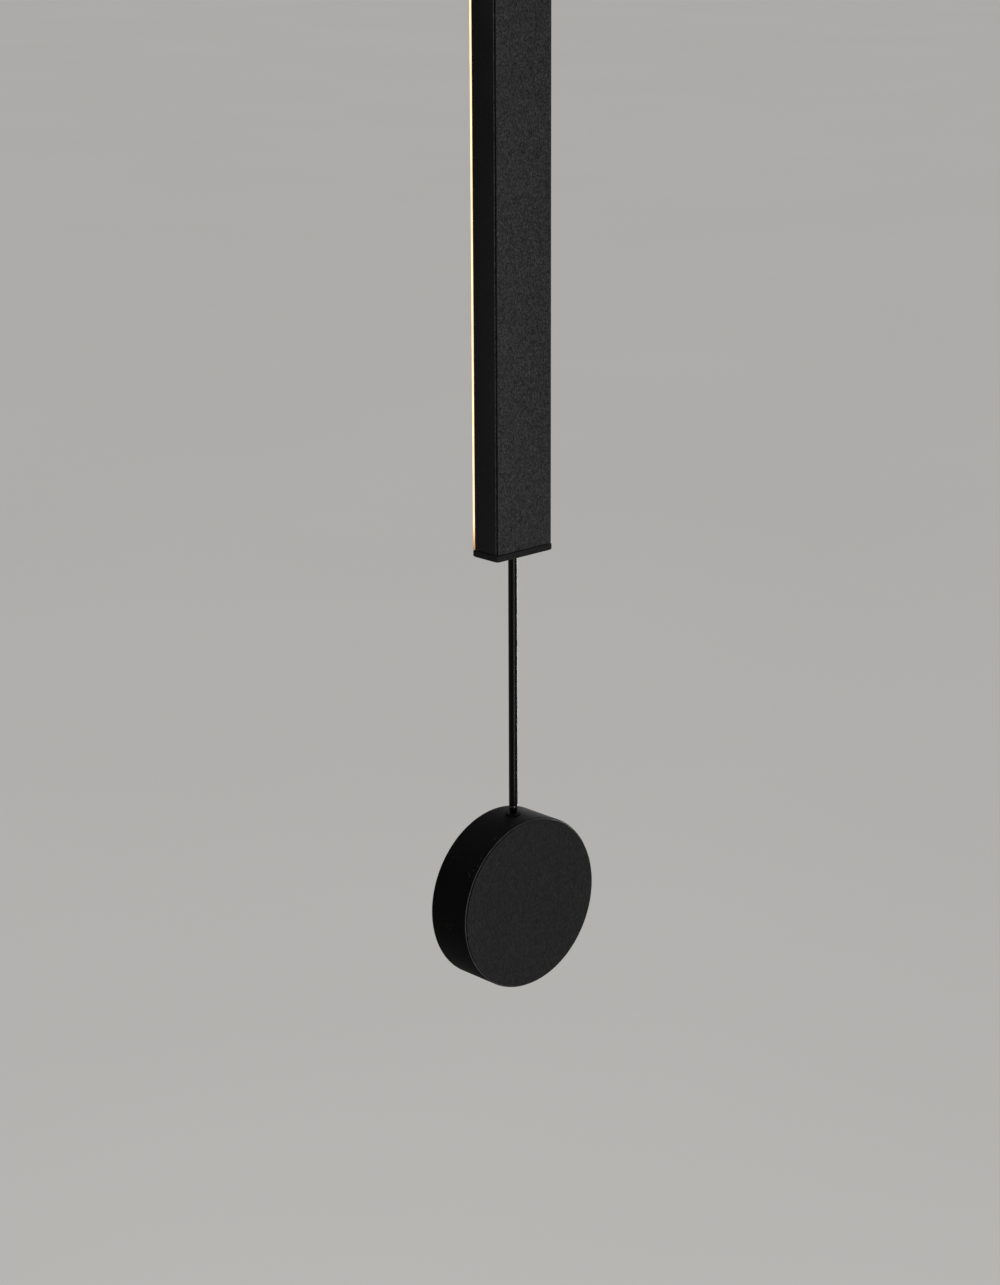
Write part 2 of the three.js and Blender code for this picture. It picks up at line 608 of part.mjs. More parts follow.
// The supply cable's bush, flanged on the room side and flush with the wall plate's back.
const CABLE_BUSH = { outer: 6.2, bore: 4.6, flange: 8, flangeThickness: 1.4 };
function cableBush() {
  const { outer, bore, flange, flangeThickness } = CABLE_BUSH;
  const seat = -PLATE.thickness - GAP;
  const back = -0.2;
  const front = seat - flangeThickness;
  const profile = [
    [bore, front],
    [flange, front],
    [flange, seat],
    [outer, seat],
    [outer, back],
    [bore, back],
    [bore, front],
  ];
  return turned(profile, "y");
}

// The grommet round the LED leads, with a lip on each side of the canopy's front wall.
const LEAD_GROMMET = { hole: 4.8, bore: 3.4 };
function leadGrommet() {
  const { hole, bore } = LEAD_GROMMET;
  const seat = WALL / 2 + GAP;
  const lip = seat + 1.1;
  const neck = hole - GAP;
  const brim = hole + 0.9;
  const profile = [
    [bore, -lip],
    [brim, -lip],
    [brim, -seat],
    [neck, -seat],
    [neck, seat],
    [brim, seat],
    [brim, lip],
    [bore, lip],
    [bore, -lip],
  ];
  return turned(profile, "y");
}

const DRIVER = { halfWidth: 11, top: 34, bottom: -56, depth: 17, ear: 6, earHalfWidth: 6, earThickness: 2 };
function ledDriver() {
  const front = CANOPY_INNER + GAP;
  const body = block(
    [-DRIVER.halfWidth, DRIVER.halfWidth],
    [front, front + DRIVER.depth],
    [DRIVER.bottom, DRIVER.top],
  );
  const ears = block(
    [-DRIVER.earHalfWidth, DRIVER.earHalfWidth],
    [front, front + DRIVER.earThickness],
    [DRIVER.bottom - DRIVER.ear, DRIVER.top + DRIVER.ear],
  );
  const holes = driverScrewHeights().map((height) =>
    cylinder("y", boreFor(DRIVER_SCREW), front - 1, front + 3, [0, height], 16),
  );
  return cut(joined([body, ears]), holes);
}

function driverScrewHeights() {
  return [DRIVER.bottom - DRIVER.ear / 2, DRIVER.top + DRIVER.ear / 2];
}

// Three poles, each with a screw well towards the wall and a wire hole through it, and one fixing ear on top.
const TERMINAL = { halfWidth: 12, bottom: 43, top: 58, depth: 12, pitch: 8, wireY: CANOPY_INNER + 5 };
const TERMINAL_POLE = { well: 2.2, wellDepth: 5, wireHole: 1.6 };
const TERMINAL_EAR = { halfWidth: 3.5, top: 62, thickness: 2, screwZ: 60.1 };
function terminalBlock() {
  const front = CANOPY_INNER + GAP;
  const back = front + TERMINAL.depth;
  const across = [-TERMINAL.halfWidth, TERMINAL.halfWidth];
  const body = block(across, [front, back], [TERMINAL.bottom, TERMINAL.top]);
  const middle = (TERMINAL.bottom + TERMINAL.top) / 2;
  const wellReach = [back - TERMINAL_POLE.wellDepth, back + 1];
  const wireReach = [TERMINAL.bottom - 1, TERMINAL.top + 1];
  const tools = [-TERMINAL.pitch, 0, TERMINAL.pitch].flatMap((x) => [
    cylinder("y", TERMINAL_POLE.well, ...wellReach, [x, middle], 16),
    cylinder("z", TERMINAL_POLE.wireHole, ...wireReach, [x, TERMINAL.wireY], 12),
  ]);
  const earReach = [TERMINAL.top - 1, TERMINAL_EAR.top];
  const earDepth = [front, front + TERMINAL_EAR.thickness];
  const ear = block([-TERMINAL_EAR.halfWidth, TERMINAL_EAR.halfWidth], earDepth, earReach);
  const earHole = cylinder("y", boreFor(TERMINAL_SCREW), front - 1, front + 3, [0, TERMINAL_EAR.screwZ], 12);
  return cut(joined([body, ear]), [...tools, earHole]);
}

// A round wire along a smooth curve.
function wire(points, radius = 0.8) {
  const circle = new THREE.Shape().absarc(0, 0, radius, 0, 2 * Math.PI, false);
  const path = new THREE.CatmullRomCurve3(points.map((p) => new THREE.Vector3(...p)));
  return solid(new THREE.ExtrudeGeometry(circle, { steps: 14, curveSegments: 4, extrudePath: path }));
}

// One low-voltage lead, from the driver's lower end through the grommet to the LED board.
function ledLead(x) {
  const pad = BAR_Y + WEB_BACK + GAP + BOARD.thickness + GAP;
  const start = DRIVER.bottom - GAP;
  return wire([
    [x, -15, start],
    [x, -15.2, start - 8],
    [x, -17.5, LEAD_HOLE_Z + 7],
    [x, -21.5, LEAD_HOLE_Z + 1.2],
    [x, -26, LEAD_HOLE_Z],
    [x, -31, LEAD_HOLE_Z],
    [x, pad, LEAD_HOLE_Z],
  ]);
}

// One mains lead, from the driver's upper end to its pole of the terminal block.
function mainsLead(x) {
  const start = DRIVER.top + GAP;
  const end = TERMINAL.bottom + 4;
  return wire([
    [x, -12, start],
    [x, -12.5, start + 2.5],
    [x, TERMINAL.wireY - 0.2, TERMINAL.bottom - 1.6],
    [x, TERMINAL.wireY, TERMINAL.bottom + 0.5],
    [x, TERMINAL.wireY, end],
  ]);
}

function hexNut(acrossFlats, bore, thickness) {
  const nut = cylinder("y", acrossFlats / Math.sqrt(3), 0, thickness, [0, 0], 6);
  return cut(nut, [cylinder("y", bore, -1, thickness + 1, [0, 0], 16)]);
}

function addWallMount(group) {
  place(group, "wall_plate", wallPlate(), steel);
  place(group, "canopy", canopy(), blackCoat);
  place(group, "led_driver", ledDriver(), driverCase);
  place(group, "terminal_block", terminalBlock(), boardWhite);
  place(group, "supply_cable_bush", cableBush(), rubber, [0, 0, CABLE_HOLE_Z]);
  place(group, "led_lead_grommet", leadGrommet(), rubber, [0, CANOPY_FRONT + WALL / 2, LEAD_HOLE_Z]);
  place(group, "led_lead_positive", ledLead(-LEAD_X), redWire);
  place(group, "led_lead_negative", ledLead(LEAD_X), blackWire);
  place(group, "live_lead", mainsLead(-TERMINAL.pitch), brownWire);
  place(group, "neutral_lead", mainsLead(TERMINAL.pitch), blueWire);

  const towardsRoom = [Math.PI / 2, 0, 0];
  const seat = CANOPY_INNER + GAP;
  const terminalHead = seat + TERMINAL_EAR.thickness + GAP + TERMINAL_SCREW.headHeight;
  const terminalPlace = [0, terminalHead, TERMINAL_EAR.screwZ];
  place(group, "terminal_block_screw", screw(TERMINAL_SCREW), steel, terminalPlace, towardsRoom);

  const canopyScrew = screw(CANOPY_SCREW);
  const endHead = CANOPY.halfHeight + GAP + CANOPY_SCREW.headHeight;
  place(group, "canopy_screw_top", canopyScrew, steel, [0, CANOPY_SCREW_Y, endHead], [Math.PI, 0, 0]);
  place(group, "canopy_screw_bottom", canopyScrew, steel, [0, CANOPY_SCREW_Y, -endHead]);

  const spacerEnds = [BAR_Y + WEB_BACK + GAP, CANOPY_FRONT - GAP];
  const spacerBore = cylinder("y", boreFor(MOUNT_SCREW), -60, 0);
  const spacer = cut(cylinder("y", SPACER_RADIUS, ...spacerEnds), [spacerBore]);
  const nut = hexNut(NUT.acrossFlats, boreFor(MOUNT_SCREW), NUT.thickness);
  const nutPlace = BAR_Y + WEB_FRONT - GAP - NUT.thickness;
  const driverHead = seat + DRIVER.earThickness + GAP + DRIVER_SCREW.headHeight;
  ["lower", "upper"].forEach((end, i) => {
    const height = MOUNT_SCREWS[i];
    const mountHead = [0, seat + MOUNT_SCREW.headHeight, height];
    place(group, `mount_spacer_${end}`, spacer, steel, [0, 0, height]);
    place(group, `mount_screw_${end}`, screw(MOUNT_SCREW), steel, mountHead, towardsRoom);
    place(group, `mount_nut_${end}`, nut, steel, [0, nutPlace, height]);
    const driverPlace = [0, driverHead, driverScrewHeights()[i]];
    place(group, `driver_screw_${end}`, screw(DRIVER_SCREW), steel, driverPlace, towardsRoom);
  });
}

// ---------------------------------------------------------------- assembly
const light = new THREE.Group();
light.name = "pendulum_wall_light";

const wallMount = new THREE.Group();
addWallMount(wallMount);

const bar = new THREE.Group();
bar.position.set(0, BAR_Y, BAR_BOTTOM);
addBar(bar);

const pendulum = new THREE.Group();
pendulum.position.set(0, BAR_Y, BAR_BOTTOM + PIVOT_HEIGHT);
addPendulum(pendulum);

light.add(wallMount, bar, pendulum);

export default light;
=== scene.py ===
"""The looks of a pendulum wall light: a slim black bar with a lit strip along its back, a thin rod and a bob.

Metres, +Z up, -Y towards the room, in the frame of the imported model. Places are worked out from the frame.
"""

import json
import math

import bmesh
import bpy
from mathutils import Matrix, Vector


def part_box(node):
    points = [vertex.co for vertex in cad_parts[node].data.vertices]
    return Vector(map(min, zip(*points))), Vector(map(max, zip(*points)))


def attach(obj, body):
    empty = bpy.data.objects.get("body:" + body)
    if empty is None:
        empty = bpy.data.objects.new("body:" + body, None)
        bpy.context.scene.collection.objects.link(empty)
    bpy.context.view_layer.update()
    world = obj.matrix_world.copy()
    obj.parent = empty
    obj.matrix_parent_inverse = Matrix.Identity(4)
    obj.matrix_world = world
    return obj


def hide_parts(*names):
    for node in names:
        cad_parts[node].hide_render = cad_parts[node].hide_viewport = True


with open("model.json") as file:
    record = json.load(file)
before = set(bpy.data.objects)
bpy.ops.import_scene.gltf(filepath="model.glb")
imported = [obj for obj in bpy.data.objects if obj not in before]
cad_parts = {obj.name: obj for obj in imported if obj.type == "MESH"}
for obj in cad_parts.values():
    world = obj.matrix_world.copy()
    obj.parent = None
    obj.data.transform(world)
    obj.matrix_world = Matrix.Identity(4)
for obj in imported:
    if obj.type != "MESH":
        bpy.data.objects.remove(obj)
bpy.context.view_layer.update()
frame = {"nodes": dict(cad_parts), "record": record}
MM = 0.001
TINY = 0.001 * MM  # points closer than this are one point
WELD = 0.002 * MM  # the same, for the CAD meshes
FLAT = math.radians(0.5)  # faces at less than this to each other are one flat face
SHARP = math.radians(32)  # edges sharper than this are shaded as creases, or rounded
Y, Z = Vector((0, 1, 0)), Vector((0, 0, 1))


# ---------------------------------------------------------------- places, from the frame
def middle(node):
    low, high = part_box(node)
    return (low + high) / 2


CAP_LOW, CAP_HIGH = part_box("bottom_end_cap")
RIM_LOW, RIM_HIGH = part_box("bob_rim")
BOB_CENTRE = middle("bob_rim")
BOB_RADIUS = (RIM_HIGH.x - RIM_LOW.x) / 2
ROD_LOW, ROD_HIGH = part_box("pendulum_rod")
ROD_RADIUS = (ROD_HIGH.x - ROD_LOW.x) / 2


# ---------------------------------------------------------------- node helpers
class Nodes:
    """Short forms for building one material's node tree. Its coordinates are the object's own, in metres."""

    def __init__(self, name):
        self.material = bpy.data.materials.new(name)
        self.material.use_nodes = True
        self.tree = self.material.node_tree
        self.shader = self.tree.nodes["Principled BSDF"]
        self.place = self.tree.nodes.new("ShaderNodeTexCoord").outputs["Object"]

    def add(self, kind, values=None, **settings):
        node = self.tree.nodes.new("ShaderNode" + kind)
        for key, value in settings.items():
            setattr(node, key, value)
        for key, value in (values or {}).items():
            self.put(node.inputs[key], value)
        return node

    def put(self, socket, value):
        """Links an output to the socket, or sets the socket's own value."""
        if isinstance(value, bpy.types.NodeSocket):
            self.tree.links.new(value, socket)
        else:
            socket.default_value = value

    def stretch(self, scale):
        return self.add("Mapping", {"Vector": self.place, "Scale": scale}).outputs[0]

    def noise(self, size, detail=2.0, where=None):
        """Soft noise whose blobs are about `size` metres across."""
        values = {"Vector": where or self.place, "Scale": 1 / size, "Detail": detail}
        return self.add("TexNoise", values).outputs[0]

    def warp(self, size, where=None):
        """Noise in three colours, for moving a place about."""
        values = {"Vector": where or self.place, "Scale": 1 / size, "Detail": 2.0}
        return self.add("TexNoise", values).outputs["Color"]

    def cells(self, size, where=None, feature="F1"):
        """Distances in a pattern of cells about `size` metres across."""
        node = self.add("TexVoronoi", {"Vector": where or self.place, "Scale": 1 / size}, feature=feature)
        return node.outputs["Distance"]

    def shifted(self, place, by, reach):
        """A place moved by a colour, which stands for a shift of up to `reach` metres."""
        return self.add("VectorMath", {0: by, 1: (reach,) * 3, 2: place}, operation="MULTIPLY_ADD").outputs[0]

    def math(self, operation, a, b=0.0, clamp=False):
        node = self.add("Math", operation=operation, use_clamp=clamp)
        self.put(node.inputs[0], a)
        self.put(node.inputs[1], b)
        return node.outputs[0]

    def ranged(self, value, low, high, to_low=0.0, to_high=1.0):
        """The value taken from one range to another, and kept inside it."""
        values = {"Value": value, "From Min": low, "From Max": high, "To Min": to_low, "To Max": to_high}
        return self.add("MapRange", values).outputs[0]

    def blend(self, factor, a, b):
        node = self.add("Mix", data_type="RGBA")
        for socket, value in ((node.inputs[0], factor), (node.inputs[6], a), (node.inputs[7], b)):
            self.put(socket, value)
        return node.outputs[2]

    def axis(self, letter):
        return self.add("SeparateXYZ", {"Vector": self.place}).outputs[letter]

    def bump(self, height, depth, below=None):
        """A bump whose full height is `depth` metres, on top of another one if given."""
        values = {"Height": height, "Distance": depth, "Strength": 1.0}
        if below is not None:
            values["Normal"] = below
        return self.add("Bump", values).outputs[0]

    def surface(self, color, roughness, normal=None, metallic=0.0, **more):
        """Sets the shader. Further sockets are named with _ for a space."""
        self.put(self.shader.inputs["Base Color"], color)
        self.put(self.shader.inputs["Roughness"], roughness)
        self.shader.inputs["Metallic"].default_value = metallic
        if normal is not None:
            self.put(self.shader.inputs["Normal"], normal)
        for key, value in more.items():
            self.put(self.shader.inputs[key.replace("_", " ")], value)
        return self.material


def rgb(value, tint=(1.0, 1.0, 1.0)):
    return (value * tint[0], value * tint[1], value * tint[2], 1.0)


# ---------------------------------------------------------------- materials
NEUTRAL = (1.0, 1.0, 1.02)


def wrinkle_coat(name, dark, light, along=0.6, depth=0.17 * MM):
    """Black wrinkle powder coat: uneven pebbles, taller than wide by 1 / `along`, under a fine sand; painted
    shade darkens the creases.
    """
    cell, sway = 1.15 * MM, 2.2 * MM
    n = Nodes(name)
    upright = n.stretch((1.0, 1.0, along))
    moved = n.shifted(upright, n.warp(sway, upright), sway)
    pebble = n.ranged(n.cells(cell, moved, "DISTANCE_TO_EDGE"), 0.0, 0.28)
    tops = n.ranged(n.cells(cell * 1.7, moved, "F1"), 0.15, 0.75, 1.0, 0.0)
    sand = n.noise(0.75 * MM, 2.0, moved)
    patch = n.noise(5 * MM, 3.0)
    pebbles = n.math("ADD", pebble, n.math("MULTIPLY", tops, 0.5))
    relief = n.math("MULTIPLY", pebbles, n.ranged(patch, 0.3, 0.65, 0.5, 0.6))
    height = n.math("ADD", relief, n.math("MULTIPLY", sand, 0.5))
    # painted shade: the colour follows the relief, dark in the creases between pebbles and light on their
    # tops; the sand and the large cloud add a random tone
    shade = n.math("ADD", relief, n.ranged(sand, 0.32, 0.68, -0.45, 0.42), clamp=True)
    cloud = n.noise(45 * MM, 2.0)
    crease_shade_and_cloud = n.math("MULTIPLY", shade, n.ranged(cloud, 0.35, 0.65, 0.85, 1.0))
    color = n.blend(crease_shade_and_cloud, rgb(dark, NEUTRAL), rgb(light, NEUTRAL))
    rough = n.ranged(shade, 0.0, 1.0, 0.72, 0.5)
    return n.surface(color, rough, n.bump(height, depth), Specular_IOR_Level=COAT_GLOSS)


def matte_coat(name, dark, light, gloss, rough=(0.5, 0.66), grain=1.3 * MM, depth=0.05 * MM, specks=None):
    """Fine black powder coat: an orange-peel surface with a faint sand in it, and small pale specks."""
    n = Nodes(name)
    sand = n.noise(grain, 3.0)
    peel = n.noise(3 * MM, 1.0)
    cloud = n.noise(40 * MM, 3.0)
    color = n.blend(n.ranged(n.math("ADD", sand, cloud), 0.7, 1.3), rgb(dark, NEUTRAL), rgb(light, NEUTRAL))
    if specks:
        ragged = n.shifted(n.place, n.warp(0.7 * MM), 0.9 * MM)
        dot = n.ranged(n.cells(2.3 * MM, ragged), 0.17, 0.07)
        group = n.ranged(n.noise(14 * MM, 2.0), 0.5, 0.62)
        color = n.blend(n.math("MULTIPLY", dot, group), color, rgb(specks, NEUTRAL))
    roughness = n.ranged(n.math("ADD", n.math("MULTIPLY", sand, 0.6), cloud), 0.6, 1.1, *rough)
    normal = n.bump(sand, depth, below=n.bump(peel, depth * 1.5))
    return n.surface(color, roughness, normal, Specular_IOR_Level=gloss)


def satin_lacquer(name, gloss=0.08, rough=(0.22, 0.3)):
    """Deep black lacquer over a drawn rod: faint lines along it, and a few dull spots."""
    n = Nodes(name)
    drawn = n.noise(0.5 * MM, 2.0, n.stretch((1.0, 1.0, 0.03)))
    spots = n.noise(1.6 * MM, 2.0)
    color = n.blend(n.ranged(drawn, 0.35, 0.65), rgb(0.0004), rgb(0.0012, NEUTRAL))
    rough = n.ranged(n.math("ADD", drawn, n.math("MULTIPLY", spots, 0.5)), 0.5, 1.0, *rough)
    normal = n.bump(drawn, 0.005 * MM, below=n.bump(spots, 0.006 * MM))
    return n.surface(color, rough, normal, Specular_IOR_Level=gloss)


def brushed_metal(name, base, tint, rough=(0.28, 0.45), along=(1.0, 1.0, 0.08)):
    """Plated or turned metal: brush lines, with cloudy plating over them."""
    n = Nodes(name)
    lines = n.noise(0.25 * MM, 3.0, n.stretch(along))
    cloud = n.noise(9 * MM, 3.0)
    color = n.blend(n.ranged(n.math("ADD", lines, cloud), 0.7, 1.3), rgb(base * 0.78, tint), rgb(base, tint))
    roughness = n.ranged(n.math("ADD", lines, cloud), 0.7, 1.3, *rough)
    return n.surface(color, roughness, n.bump(lines, 0.012 * MM), metallic=1.0)


def cast_iron(name):
    """Cast iron: sandy, with shallow pits."""
    n = Nodes(name)
    sand = n.noise(0.7 * MM, 4.0)
    pits = n.ranged(n.cells(2.2 * MM), 0.0, 0.3, 0.0, 1.0)
    color = n.blend(sand, rgb(0.035), rgb(0.1, (1.0, 0.96, 0.92)))
    normal = n.bump(sand, 0.08 * MM, below=n.bump(pits, 0.05 * MM))
    return n.surface(color, n.ranged(sand, 0.3, 0.7, 0.5, 0.75), normal, metallic=0.8)


def moulded(name, color, rough=(0.42, 0.6), grain=0.35 * MM, depth=0.012 * MM):
    """Moulded plastic: a fine spark-eroded grain and slightly uneven colour."""
    n = Nodes(name)
    grit = n.noise(grain, 2.0)
    cloud = n.noise(12 * MM, 3.0)
    darker = tuple(c * 0.82 for c in color) + (1.0,)
    shade = n.blend(n.ranged(n.math("ADD", grit, cloud), 0.7, 1.3), darker, (*color, 1.0))
    rough = n.ranged(n.math("ADD", grit, cloud), 0.7, 1.3, *rough)
    return n.surface(shade, rough, n.bump(grit, depth))


def lit_opal(name):
    """Opal plastic lit from inside by a row of LEDs. Only its outside shines: white-hot in the middle of its
    edge, and amber at its borders and where the row ends, a little short of each cap."""
    n = Nodes(name)
    low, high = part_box("rear_diffuser")
    plate = 1.7 * MM
    fade, start = 15 * MM, 0.5 * MM
    height, depth = n.axis("Z"), n.axis("Y")
    from_low = n.ranged(height, low.z + start, low.z + start + fade)
    from_high = n.ranged(height, high.z - start, high.z - start - fade)
    inside = n.math("MULTIPLY", from_low, from_high)
    led_pitch = 16.7 * MM
    first_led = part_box("led_board")[0].z + 6 * MM
    wave = n.math("MULTIPLY", n.math("SUBTRACT", height, first_led), 2 * math.pi / led_pitch)
    spots = n.ranged(n.math("COSINE", wave), -1.0, 1.0, 0.85, 1.0)
    sideways = n.math("DIVIDE", n.math("ABSOLUTE", n.axis("X")), high.x)
    across = n.ranged(n.math("POWER", sideways, 2.0), 0.0, 1.0, 1.0, 0.8)
    milky = n.ranged(n.noise(0.8 * MM, 3.0), 0.3, 0.7, 0.96, 1.0)
    off_middle = n.math("ABSOLUTE", n.math("SUBTRACT", depth, high.y - plate / 2))
    core = n.ranged(off_middle, plate * 0.5, plate * 0.2)
    faces = n.add("SeparateXYZ", {"Vector": n.add("TexCoord").outputs["Normal"]}).outputs
    outside = n.math("GREATER_THAN", depth, high.y - plate - 0.05 * MM)
    not_front = n.ranged(faces["Y"], -0.75, -0.6)
    not_end = n.ranged(n.math("ABSOLUTE", faces["Z"]), 0.8, 0.7)
    outside = n.math("MULTIPLY", n.math("MULTIPLY", outside, not_front), not_end)
    hot = n.math("MULTIPLY", n.math("POWER", inside, 0.7), n.ranged(core, 0.0, 1.0, 0.15, 1.0))
    glow = n.math("MULTIPLY", n.math("MULTIPLY", spots, across), n.math("MULTIPLY", milky, outside))
    amber, warm = (1.0, 0.34, 0.06, 1.0), (1.0, 0.74, 0.42, 1.0)
    n.put(n.shader.inputs["Emission Color"], n.blend(n.math("POWER", hot, 0.8), amber, warm))
    strength = n.math("MULTIPLY", glow, n.ranged(hot, 0.0, 1.0, 0.3, LIT_STRENGTH))
    n.put(n.shader.inputs["Emission Strength"], strength)
    color = n.blend(n.noise(3 * MM, 2.0), (0.40, 0.30, 0.18, 1.0), (0.46, 0.35, 0.22, 1.0))
    rough = n.ranged(n.noise(1.2 * MM, 2.0), 0.3, 0.7, 0.38, 0.52)
    return n.surface(color, rough, n.bump(n.noise(0.5 * MM, 2.0), 0.01 * MM))


def solder_mask(name):
    """White solder mask over copper lines, seen as slightly raised bands along the board."""
    n = Nodes(name)
    centre = middle("led_board")
    band = n.math("ABSOLUTE", n.math("SUBTRACT", n.axis("X"), centre.x))
    track = n.math("MULTIPLY", n.ranged(band, 3.8 * MM, 4.0 * MM), n.ranged(band, 7.2 * MM, 7.0 * MM))
    grit = n.noise(0.4 * MM, 2.0)
    color = n.blend(track, (0.80, 0.80, 0.77, 1.0), (0.72, 0.73, 0.68, 1.0))
    normal = n.bump(track, 0.035 * MM, below=n.bump(grit, 0.006 * MM))
    return n.surface(color, n.ranged(grit, 0.3, 0.7, 0.3, 0.42), normal)


LIT_STRENGTH = 2.2

COAT_GLOSS = 0.16
COAT = matte_coat("body_coat", 0.005, 0.0115, COAT_GLOSS * 0.6, rough=(0.6, 0.75), specks=0.022)
# painted shade: the drum's black coat, made far darker than the body coat so its rounded side looks as shaded
# as it was in dim light
RIM_SHADE_COAT = matte_coat("rim_painted_shade_coat", 0.0008, 0.0034, COAT_GLOSS * 0.32, rough=(0.74, 0.88), specks=0.045)
# painted highlight: the drum's front lip gets a patchy coat many times lighter than the drum, standing in for
# light caught on that edge
LIP_HIGHLIGHT_COAT = matte_coat("painted_highlight_lip", 0.016, 0.046, COAT_GLOSS, grain=5 * MM)
BUSH = matte_coat("bush_black", 0.001, 0.004, COAT_GLOSS * 0.3, (0.82, 0.94), 0.5 * MM, 0.01 * MM)
FACE = wrinkle_coat("front_wrinkle_coat", 0.005, 0.0325)
CAP_FACE = wrinkle_coat("cap_wrinkle_coat", 0.0015, 0.0065)
BOB_FACE = wrinkle_coat("bob_wrinkle_coat", 0.0034, 0.012, along=0.4, depth=0.1 * MM)
ROD = satin_lacquer("rod_lacquer")
TIP = satin_lacquer("tip_lacquer", 0.45, (0.12, 0.2))
OPAL = lit_opal("lit_opal")
ZINC = brushed_metal("zinc_plate", 0.55, (0.97, 0.99, 1.0))
SCREW = brushed_metal("screw_steel", 0.42, (0.98, 0.99, 1.0), rough=(0.22, 0.38), along=(1, 1, 1))
BRASS = brushed_metal("turned_brass", 0.62, (1.0, 0.74, 0.36), along=(1, 0.1, 1))
IRON = cast_iron("cast_iron")
NYLON = moulded("black_nylon", (0.018, 0.018, 0.018))
RUBBER = moulded("black_rubber", (0.013, 0.013, 0.013), rough=(0.7, 0.85), grain=0.6 * MM)
MASK = solder_mask("white_solder_mask")
LED_LENS = moulded("led_phosphor", (0.85, 0.62, 0.08), rough=(0.2, 0.3))
DRIVER = moulded("driver_case", (0.70, 0.70, 0.67), grain=0.7 * MM, depth=0.03 * MM)
TERMINAL = moulded("terminal_block", (0.78, 0.77, 0.72))
WIRES = {
    "led_lead_positive": moulded("red_insulation", (0.42, 0.012, 0.012), rough=(0.3, 0.42)),
    "led_lead_negative": moulded("black_insulation", (0.012, 0.012, 0.012), rough=(0.3, 0.42)),
    "live_lead": moulded("brown_insulation", (0.12, 0.04, 0.012), rough=(0.3, 0.42)),
    "neutral_lead": moulded("blue_insulation", (0.012, 0.07, 0.33), rough=(0.3, 0.42)),
}


# ---------------------------------------------------------------- mesh helpers
def arc(cx, cy, radius, start, end, steps):
    """Points of an arc, with its angles in degrees."""
    turns = [math.radians(start + (end - start) * i / steps) for i in range(steps + 1)]
    return [(cx + radius * math.cos(t), cy + radius * math.sin(t)) for t in turns]


def shaded(mesh):
    """Merges doubled points, and shades the mesh smooth apart from its sharp edges."""
    bm = bmesh.new()
    bm.from_mesh(mesh)
    bmesh.ops.remove_doubles(bm, verts=bm.verts, dist=TINY)
    bmesh.ops.dissolve_degenerate(bm, edges=bm.edges, dist=TINY)
    bmesh.ops.recalc_face_normals(bm, faces=bm.faces)
    for face in bm.faces:
        face.smooth = True
    for edge in bm.edges:
        edge.smooth = len(edge.link_faces) == 2 and edge.calc_face_angle() < SHARP
    bm.to_mesh(mesh)
    bm.free()


def new_object(name, bm, material):
    """An object made from a bmesh, which is freed."""
    mesh = bpy.data.meshes.new(name)
    bm.to_mesh(mesh)
    bm.free()
    shaded(mesh)
    mesh.materials.append(material)
    made = bpy.data.objects.new(name, mesh)
    bpy.context.scene.collection.objects.link(made)
    return made


def basis(axis):
    """A rotation that takes +Z to the given axis."""
    return Vector(axis).to_track_quat("Z", "Y").to_matrix().to_4x4()


def lathe(name, profile, centre, axis, material, sides):
    """Turns a profile of (radius, height) points round an axis. A profile off the axis closes on itself, and
    a flat end on the axis is one face."""
    flat_start = profile[0][0] == 0 and profile[0][1] == profile[1][1]
    flat_end = profile[-1][0] == 0 and profile[-1][1] == profile[-2][1]
    closed = profile[0][0] > 0
    profile = profile[flat_start : len(profile) - flat_end]
    angles = [2 * math.pi * i / sides for i in range(sides)]
    bm = bmesh.new()
    rings = []
    for radius, height in profile:
        if radius == 0:
            rings.append([bm.verts.new((0, 0, height))] * sides)
        else:
            rings.append([bm.verts.new((radius * math.cos(a), radius * math.sin(a), height)) for a in angles])
    if flat_start:
        bm.faces.new(rings[0])
    if flat_end:
        bm.faces.new(rings[-1][::-1])
    for k in range(len(rings) if closed else len(rings) - 1):
        a, b = rings[k], rings[(k + 1) % len(rings)]
        for i in range(sides):
            j = (i + 1) % sides
            corners = list(dict.fromkeys((a[i], a[j], b[j], b[i])))
            if len(corners) > 2:
                bm.faces.new(corners)
    bm.transform(Matrix.Translation(centre) @ basis(axis))
    return new_object(name, bm, material)


def rounded_outline(half_x, half_y, corner, steps=6):
    """A rectangle with round corners, anticlockwise from its lower right corner."""
    points = []
    for sx, sy, start in ((1, -1, -90), (1, 1, 0), (-1, 1, 90), (-1, -1, 180)):
        cx, cy = sx * (half_x - corner), sy * (half_y - corner)
        points += arc(cx, cy, corner, start, start + 90, steps)
    return points


def stacked(name, rings, material):
    """Skins a stack of outlines of equal length, each a list of points in space, and closes both ends."""
    bm = bmesh.new()
    made = [[bm.verts.new(p) for p in ring] for ring in rings]
    for a, b in zip(made, made[1:]):
        for i in range(len(a)):
            j = (i + 1) % len(a)
            bm.faces.new((a[i], a[j], b[j], b[i]))
    bm.faces.new(made[0][::-1])
    bm.faces.new(made[-1])
    return new_object(name, bm, material)


def carved(piece, *cutters):
    """Cuts the cutters out of a piece, and removes them."""
    for cutter in cutters:
        cut = piece.modifiers.new("cut", "BOOLEAN")
        cut.operation, cut.solver, cut.object = "DIFFERENCE", "EXACT", cutter
    bpy.context.view_layer.update()
    graph = bpy.context.evaluated_depsgraph_get()
    mesh = bpy.data.meshes.new_from_object(piece.evaluated_get(graph))
    piece.modifiers.clear()
    piece.data = mesh
    shaded(mesh)
    for cutter in cutters:
        bpy.data.objects.remove(cutter)
    return piece


